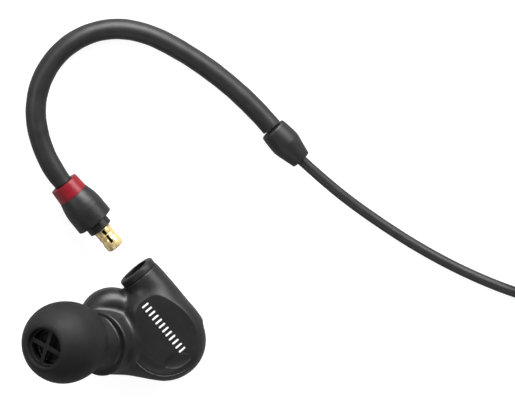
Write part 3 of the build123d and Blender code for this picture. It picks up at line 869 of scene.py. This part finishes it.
# ---------------------------------------------------------------- plug
NOSE_AT = 3.39
BARREL_AT = NOSE_AT + 1.28
RING_AT = BARREL_AT + 4.89
HOOK_AT = RING_AT + 2.12
CONTACT_WINDOWS = ((1.04, 2.24), (2.44, 3.19))
CONTACT_WALL, WINDOW_HALF_WIDTH = 0.14, 0.21
CONTACT_OUTLINE = (
    (1.02, 0.0), (1.10, 0.05), (1.18, 0.16), (1.245, 0.36), (1.27, 0.6), (1.27, 1.05),
    (1.245, 1.3), (1.19, 1.52), (1.12, 1.72), (1.07, 1.9), (1.07, 2.15), (1.12, 2.3),
    (1.19, 2.42), (1.235, 2.6), (1.25, 2.8), (1.25, 4.1),
)


def windowed_tube(place, outline, wall, windows, half_width, segments=96):
    """A tube of (radius, height) stations, with windows cut through it on four sides."""
    sill = math.asin(half_width / outline[len(outline) // 2][0])
    angles = {2 * math.pi * step / segments for step in range(segments)}
    for side in range(4):
        middle = side * math.pi / 2
        angles = {a for a in angles if abs(math.remainder(a - middle, 2 * math.pi)) > sill * 1.1}
        angles |= {(middle - sill) % (2 * math.pi), middle, (middle + sill) % (2 * math.pi)}
    angles = sorted(angles)
    heights = sorted({h for _, h in outline} | {h for window in windows for h in window})
    radii = np.interp(heights, [h for _, h in outline], [r for r, _ in outline])
    across, along = len(angles), len(heights)
    points = []
    for depth in (0, wall):
        for height, radius in zip(heights, radii):
            for angle in angles:
                reach = radius - depth
                spot = Vector((reach * math.cos(angle), reach * math.sin(angle), height))
                points.append(place @ spot)

    def number(layer, j, i):
        return (layer * along + j) * across + i % across

    def solid(j, i):
        if not 0 <= j < along - 1:
            return False
        height = (heights[j] + heights[j + 1]) / 2
        start, end = angles[i % across], angles[(i + 1) % across]
        angle = start + ((end - start) % (2 * math.pi)) / 2
        beside = abs(math.remainder(angle, math.pi / 2)) < sill
        return not (beside and any(low < height < high for low, high in windows))

    faces = []
    for j in range(along - 1):
        for i in range(across):
            if not solid(j, i):
                continue
            a, b, c, d = ((j, i), (j, i + 1), (j + 1, i + 1), (j + 1, i))
            faces.append([number(0, *spot) for spot in (a, b, c, d)])
            faces.append([number(1, *spot) for spot in (d, c, b, a)])
            around = ((a, b, j - 1, i), (b, c, j, i + 1), (c, d, j + 1, i), (d, a, j, i - 1))
            for start, end, *beyond in around:
                if not solid(*beyond):
                    rim = ((0, end), (0, start), (1, start), (1, end))
                    faces.append([number(layer, *spot) for layer, spot in rim])
    return points, faces


def make_plug():
    """The contact, the nose behind it, the barrel and the red ring."""
    points, faces = windowed_tube(
        plug_place, CONTACT_OUTLINE, CONTACT_WALL, CONTACT_WINDOWS, WINDOW_HALF_WIDTH
    )
    stands_for = ["plug_outer_contact"]
    add_piece("gold_contact", points, faces, "contact_gold", "cable", stands_for, 32)
    nose = [
        (1.26, NOSE_AT), (1.66, NOSE_AT), (1.74, NOSE_AT + 0.08), (1.74, BARREL_AT),
        (1.26, BARREL_AT),
    ]
    turned("nose", plug_place, nose, "plug_black", "cable", ["plug_nose"], 0.05)
    barrel = [
        (1.26, BARREL_AT), (2.64, BARREL_AT), (2.75, BARREL_AT + 0.1), (2.74, BARREL_AT + 2.4),
        (2.66, BARREL_AT + 3.2), (2.52, BARREL_AT + 3.9), (2.25, RING_AT), (1.3, RING_AT),
        (1.3, RING_AT - 1.0), (1.26, BARREL_AT + 1.0),
    ]
    turned("barrel", plug_place, barrel, "plug_black", "cable", ["plug_barrel"], 0.05)
    low, high = RING_AT + 0.02, HOOK_AT - 0.01
    band = [(1.33, low), (2.23, low), (2.10, high), (1.33, high)]
    turned("red_ring", plug_place, band, "side_red", "cable", ["side_ring"], 0.03)


# ---------------------------------------------------------------- ear hook and sleeve
HOOK_BENDS = ((17.1, 30.5), (11.6, 46.1), (11.3, 64.8), (17.0, 15.8), (49.9, 22.3))
HOOK_SLOPE = (-0.0084, -0.0605)
HOOK_GAP = 0.06
HOOK_R = 1.44
HOOK_STEP = 0.35
SLEEVE_START = Vector((15.13, 29.44, 2.15))
SLEEVE_ANGLE = math.radians(-46.9)
SLEEVE_LENGTH = 6.03
sleeve_place = frame_of(
    SLEEVE_START, Vector((math.cos(SLEEVE_ANGLE), math.sin(SLEEVE_ANGLE), 0)), UP
)


def hook_points():
    """Points of the hook's middle line: tangent arcs in its sloping plane, all turning one way."""
    start = PLUG_TIP + OUT * (HOOK_AT + HOOK_GAP)
    normal = Vector((-HOOK_SLOPE[0], -HOOK_SLOPE[1], 1)).normalized()
    x_dir = Vector((1, 0, HOOK_SLOPE[0])).normalized()
    y_dir = normal.cross(x_dir)
    heading = math.atan2(OUT.y, OUT.x)
    spot = Vector((0, 0))
    line = [spot.copy()]
    for radius, bend in HOOK_BENDS:
        turn = math.radians(bend)
        centre = spot + radius * Vector((math.sin(heading), -math.cos(heading)))
        steps = max(4, round(radius * turn / HOOK_STEP))
        for step in range(1, steps + 1):
            angle = heading - turn * step / steps
            line.append(centre - radius * Vector((math.sin(angle), -math.cos(angle))))
        heading -= turn
        spot = line[-1].copy()
    return [start + x_dir * p.x + y_dir * p.y for p in line], normal


def sweep(line, normal, radii, segments=64):
    """A round bar along a line that lies in one plane, closed at both ends."""
    points, faces = [], []
    for index, (spot, radius) in enumerate(zip(line, radii)):
        ahead = line[min(index + 1, len(line) - 1)] - line[max(index - 1, 0)]
        side = ahead.normalized().cross(normal)
        for step in range(segments):
            angle = 2 * math.pi * step / segments
            points.append(spot + (side * math.cos(angle) + normal * math.sin(angle)) * radius)
    for ring in range(len(line) - 1):
        for step in range(segments):
            turn = (step + 1) % segments
            low, high = ring * segments, (ring + 1) * segments
            faces.append([low + step, low + turn, high + turn, high + step])
    faces.append(list(reversed(range(segments))))
    faces.append(list(range(len(points) - segments, len(points))))
    return points, faces


def make_hook():
    """The formed hook, a little uneven, with a neck at the ring."""
    line, normal = hook_points()
    last = len(line) - 1
    radii = []
    for index in range(len(line)):
        along = index * HOOK_STEP
        neck = 0.11 * math.exp(-((along / 1.3) ** 2))
        wave = 0.012 * math.sin(along * 0.9) + 0.008 * math.sin(along * 2.3 + 1)
        radii.append(HOOK_R - neck + wave * min(1, along / 3, (last - index) / 6))
    points, faces = sweep(line, normal, radii)
    add_piece("hook", points, faces, "hook_rubber", "cable", ["ear_hook"])


def make_sleeve():
    """The barrel-shaped sleeve, with a mouth for the cable."""
    outline = [
        (0, 0.1), (1.5, 0.1), (1.86, 0.16), (1.95, 0.42), (2.05, 1.3), (2.12, 2.2), (2.13, 2.9),
        (2.03, 3.5), (1.86, 4.2), (1.44, SLEEVE_LENGTH), (0.8, SLEEVE_LENGTH),
        (0.8, 5.6), (0, 5.6),
    ]
    stands_for = ["transition_sleeve"]
    turned("sleeve", sleeve_place, outline, "hook_rubber", "cable", stands_for, 0.09)


# ---------------------------------------------------------------- jack and cable
JACK_START = Vector((80.9, 16.8, 3.3))
jack_place = frame_of(JACK_START, Vector((0.05, 1, 0)), UP)
RELIEF_END = 7.5
SHELL_END = RELIEF_END + 13.0
SLEEVE_END = SHELL_END + 6.2
RING_START = SLEEVE_END + 0.5
RING_END = RING_START + 2.4
TIP_START = RING_END + 0.5
JACK_END = SHELL_END + 14.0
JACK_SHELL_R, JACK_R, BAND_R, CORE_R = 3.19, 1.75, 1.72, 0.8
COIL_CENTRE = Vector((64.5, 15.3))
COIL_OUTER = 12.0
COIL_COLUMNS = 5
COIL_LAYERS = 4
COIL_FIT = 0.989            # keeps the outermost turn on the CAD coil's radius


def make_jack():
    """Strain relief, shell, contacts and the black bands between them."""
    relief = [(0, 0), (1.02, 0), (1.12, 0.12)]
    for rib in range(5):
        foot = 0.9 + rib * 1.15
        radius = 1.2 + 0.13 * rib
        groove = radius - 0.05
        relief += [(radius + 0.14, foot), (radius + 0.17, foot + 0.62)]
        relief += [(groove, foot + 0.68), (groove, foot + 1.08)]
    relief += [(1.9, 6.9), (1.9, RELIEF_END), (0, RELIEF_END)]
    shell = [
        (0, RELIEF_END), (2.3, RELIEF_END), (2.9, RELIEF_END + 0.35),
        (JACK_SHELL_R, RELIEF_END + 1.2),
    ]
    for groove in range(4):
        foot = RELIEF_END + 8.6 + groove * 0.8
        shell += [(JACK_SHELL_R, foot), (3.08, foot + 0.1)]
        shell += [(3.08, foot + 0.25), (JACK_SHELL_R, foot + 0.35)]
    shell += [(JACK_SHELL_R, SHELL_END - 0.3), (2.9, SHELL_END), (0, SHELL_END)]
    sleeve = [
        (CORE_R, SHELL_END), (2.3, SHELL_END), (2.3, SHELL_END + 0.5), (JACK_R, SHELL_END + 0.5),
        (JACK_R, SLEEVE_END), (CORE_R, SLEEVE_END),
    ]
    ring = [(CORE_R, RING_START), (JACK_R, RING_START), (JACK_R, RING_END), (CORE_R, RING_END)]
    tip = [
        (CORE_R, TIP_START), (JACK_R, TIP_START), (1.6, TIP_START + 0.5), (1.25, TIP_START + 1.1),
        (1.55, TIP_START + 1.75), (1.62, TIP_START + 2.1), (1.5, JACK_END - 1.25),
        (0.5, JACK_END - 0.05), (0, JACK_END), (0, TIP_START + 0.6), (CORE_R, TIP_START + 0.6),
    ]
    bands = [
        (0, SHELL_END), (CORE_R, SHELL_END), (CORE_R, SLEEVE_END), (BAND_R, SLEEVE_END),
        (BAND_R, RING_START), (CORE_R, RING_START), (CORE_R, RING_END), (BAND_R, RING_END),
        (BAND_R, TIP_START), (CORE_R, TIP_START), (CORE_R, TIP_START + 0.58),
        (0, TIP_START + 0.58),
    ]
    return [
        turned(name, jack_place, outline, slot, "cable", [node], round_by)
        for name, outline, slot, node, round_by in (
            ("relief", relief, "hook_rubber", "jack_strain_relief", 0.06),
            ("shell", shell, "plug_black", "jack_shell", 0.12),
            ("jack_sleeve", sleeve, "contact_gold", "jack_sleeve_contact", 0.06),
            ("jack_ring", ring, "contact_gold", "jack_ring_contact", 0.05),
            ("jack_tip", tip, "contact_gold", "jack_tip_contact", 0.12),
            ("jack_bands", bands, "jack_band", "jack_insulator", 0.02),
        )
    ]


sleeve_end = sleeve_place @ Vector((0, 0, SLEEVE_LENGTH + 0.05))
LEAD = (
    tuple(sleeve_end),
    (23.4, 21.2, 1.75),
    (29.2, 16.8, CABLE_R),
    (36.2, 12.2, CABLE_R),
    (43.6, 8.3, CABLE_R),
    (51.2, 5.3, CABLE_R),
    (58.2, 3.75, CABLE_R),
)
TAIL = (
    (71.5, 3.1, 4.9),
    (77.2, 5.2, 3.9),
    (80.4, 10.4, 3.35),
    tuple(JACK_START),
)


def coil_points():
    """The turns: each layer steps from column to column, and the layers go in and out by turns."""
    per_turn = 16
    step_from, step_to = 0.35, 0.60
    places = []
    for layer in range(COIL_LAYERS):
        columns = range(COIL_COLUMNS)
        places += [(c if layer % 2 == 0 else COIL_COLUMNS - 1 - c, layer) for c in columns]
    places.append(places[-1])
    pitch = 2 * CABLE_R
    for turn, ((column, layer), following) in enumerate(zip(places, places[1:])):
        for step in range(per_turn):
            part = step / per_turn
            blend = min(1, max(0, (part - step_from) / (step_to - step_from)))
            blend = blend * blend * (3 - 2 * blend)
            radius = COIL_OUTER - pitch * (column + (following[0] - column) * blend)
            height = CABLE_R + pitch * (layer + (following[1] - layer) * blend)
            angle = 2 * math.pi * part - math.pi / 2
            # a quadratic spline cuts inside its points, so they stand a little further out
            reach = radius / math.cos(math.pi / per_turn) ** 2 * COIL_FIT
            spot = COIL_CENTRE + reach * Vector((math.cos(angle), math.sin(angle)))
            yield (spot.x, spot.y, height)
    yield (COIL_CENTRE.x, COIL_CENTRE.y - COIL_OUTER, CABLE_R + pitch * (COIL_LAYERS - 1))


def make_cable(jack_pieces):
    """The cord: from the sleeve out of view, round the coil and to the jack."""
    curve = bpy.data.curves.new("cable", "CURVE")
    curve.dimensions = "3D"
    curve.bevel_depth = CABLE_R * MM
    curve.bevel_resolution = 10
    curve.resolution_u = 6
    curve.use_fill_caps = True
    spline = curve.splines.new("NURBS")
    route = [*LEAD, *coil_points(), *TAIL]
    spline.points.add(len(route) - 1)
    for point, spot in zip(spline.points, route):
        point.co = (*(s * MM for s in spot), 1.0)
    spline.order_u = 3
    spline.use_endpoint_u = True
    curve.materials.append(finish_for("cable_jacket"))
    cable = bpy.data.objects.new("cable_line", curve)
    bpy.context.collection.objects.link(cable)
    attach(cable, "cable")
    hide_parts("cable_lead", "cable_coil", "cable_tail")


make_cable(make_jack())
make_sleeve()
make_hook()
make_plug()
make_tip()
make_guard()
make_housing()
make_collar()
make_mark()
dress_frame()


# ---------------------------------------------------------------- floor and light
def add_floor():
    size = 3.0
    mesh = bpy.data.meshes.new("floor")
    corners = [(-size, -size, 0), (size, -size, 0), (size, size, 0), (-size, size, 0)]
    mesh.from_pydata(corners, [], [(0, 1, 2, 3)])
    floor = bpy.data.objects.new("floor", mesh)
    mesh.materials.append(floor_paper())
    bpy.context.collection.objects.link(floor)


def add_light(name, place, size, power):
    """A softbox that faces the object, in metres and watts."""
    data = bpy.data.lights.new(name, "AREA")
    data.shape = "RECTANGLE"
    data.size, data.size_y = size
    data.energy = power
    light = bpy.data.objects.new(name, data)
    target = Vector((0.012, 0.02, 0.0))
    light.location = place
    light.rotation_mode = "QUATERNION"
    light.rotation_quaternion = (target - light.location).to_track_quat("-Z", "Y")
    bpy.context.collection.objects.link(light)


def add_world():
    """Soft light from around, weak overhead so that faces seen straight on stay dark."""
    world = bpy.data.worlds.new("studio")
    bpy.context.scene.world = world
    world.use_nodes = True
    tree = world.node_tree
    background = tree.nodes["Background"]
    place = tree.nodes.new("ShaderNodeTexCoord")
    split = tree.nodes.new("ShaderNodeSeparateXYZ")
    tree.links.new(place.outputs["Generated"], split.inputs["Vector"])
    ramp = tree.nodes.new("ShaderNodeValToRGB")
    stops = ((0.0, 0.5), (0.30, 0.30), (0.62, 0.18), (1.0, 0.12))
    while len(ramp.color_ramp.elements) < len(stops):
        ramp.color_ramp.elements.new(0.5)
    for element, (position, level) in zip(ramp.color_ramp.elements, stops):
        element.position = position
        element.color = (level, level, level, 1.0)
    tree.links.new(split.outputs["Z"], ramp.inputs["Fac"])
    tree.links.new(ramp.outputs["Color"], background.inputs["Color"])
    background.inputs["Strength"].default_value = 0.9


add_floor()
add_world()
add_light("key", (0.07, 0.50, 0.28), (0.46, 0.40), 7.6)
add_light("ridge", (0.42, 0.34, 0.34), (0.12, 0.40), 1.1)
add_light("front", (-0.05, -0.42, 0.36), (0.45, 0.25), 0.45)
add_light("fill", (-0.50, 0.15, 0.45), (0.35, 0.35), 1.2)
bpy.context.scene.view_settings.view_transform = "Standard"
